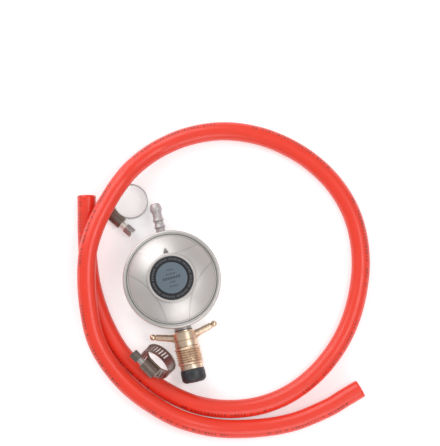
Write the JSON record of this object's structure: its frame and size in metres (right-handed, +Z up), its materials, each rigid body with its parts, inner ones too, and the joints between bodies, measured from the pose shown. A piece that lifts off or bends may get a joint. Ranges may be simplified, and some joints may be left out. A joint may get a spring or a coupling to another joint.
{
  "type": "propane regulator hose set",
  "caption": "Round low-pressure gas regulator with a wing-nut inlet and a hose barb, lying with its orange hose in a loose loop and worm-drive hose clips.",
  "frame": {"origin": "middle of the regulator's flat foot, on the surface that the set lies on", "axes": "+Z up through the cap, +Y out of the outlet barb, -Y out of the inlet, +X to the loop's wide side"},
  "size_m": [0.2254, 0.243, 0.0439],
  "materials": {
    "body_paint": "satin grey paint on a die casting",
    "cover_silver": "satin silver paint on a moulded cover",
    "cap_plastic": "satin black plastic",
    "label_film": "blue-grey printed film, left bare of words",
    "adjuster_plastic": "moulded plastic",
    "spring_steel": "bright spring wire",
    "zinc_steel": "zinc-plated steel",
    "diaphragm_rubber": "matt black rubber",
    "inner_brass": "turned brass",
    "inlet_brass": "turned brass, slightly tarnished",
    "seal_rubber": "dark grey rubber",
    "filter_brass": "sintered bronze",
    "barb_metal": "dull grey plated metal",
    "clip_band_steel": "rolled steel strip",
    "clip_housing_steel": "dull pressed steel",
    "clip_screw_steel": "zinc-plated screw",
    "hose_rubber": "smooth orange-red rubber with a sheen"
  },
  "bodies": {
    "loose_set": {"lower_body": "body_paint", "cover": "cover_silver", "closing_cap": "cap_plastic", "label_disc": "label_film", "adjusting_screw": "adjuster_plastic", "main_spring": "spring_steel", "diaphragm": "diaphragm_rubber", "lever_pin": "zinc_steel", "inlet_nipple": "inlet_brass", "nipple_seal": "seal_rubber", "inlet_filter": "filter_brass", "nose_seal": "seal_rubber", "outlet_barb": "barb_metal", "clip_1_band": "clip_band_steel", "clip_1_housing": "clip_housing_steel", "clip_2_band": "clip_band_steel", "clip_2_housing": "clip_housing_steel", "hose": "hose_rubber"},
    "inlet_nut": {"wing_nut": "inlet_brass"},
    "diaphragm_set": {"diaphragm_plate": "zinc_steel", "diaphragm_stem": "inner_brass", "stem_nut": "zinc_steel"},
    "valve_lever": {"lever": "zinc_steel"},
    "valve": {"valve_plunger": "inner_brass", "valve_pad": "diaphragm_rubber"},
    "clip_1_worm": {"clip_1_screw": "clip_screw_steel"},
    "clip_2_worm": {"clip_2_screw": "clip_screw_steel"}
  },
  "joints": [
    {"name": "nut_spin", "type": "hinge", "parent": "loose_set", "child": "inlet_nut", "pos_m": [0, -0.052, 0.013], "axis": [0, -1, 0], "continuous": true},
    {"name": "diaphragm_lift", "type": "slide", "parent": "loose_set", "child": "diaphragm_set", "axis": [0, 0, 1], "range_m": [0, 0.003], "stiffness_N_per_m": 300, "springref_m": -0.003, "deforming": ["main_spring", "diaphragm"]},
    {"name": "lever_tilt", "type": "hinge", "parent": "loose_set", "child": "valve_lever", "pos_m": [0, -0.014, 0.0066], "axis": [1, 0, 0], "range_deg": [0, 12.4]},
    {"name": "valve_slide", "type": "slide", "parent": "loose_set", "child": "valve", "axis": [0, -1, 0], "range_m": [0, 0.0014]},
    {"name": "clip_1_screw_turn", "type": "hinge", "parent": "loose_set", "child": "clip_1_worm", "pos_m": [-0.0314, 0.05613, 0.00535], "axis": [0.5878, -0.809, 0], "continuous": true},
    {"name": "clip_2_screw_turn", "type": "hinge", "parent": "loose_set", "child": "clip_2_worm", "pos_m": [-0.03174, -0.06199, 0.02809], "axis": [-0.5299, 0.848, 0], "continuous": true}
  ],
  "couplings": [
    {"joint": "lever_tilt", "follows": "diaphragm_lift", "rad_per_m": 71.429},
    {"joint": "valve_slide", "follows": "diaphragm_lift", "ratio": 0.45714}
  ]
}
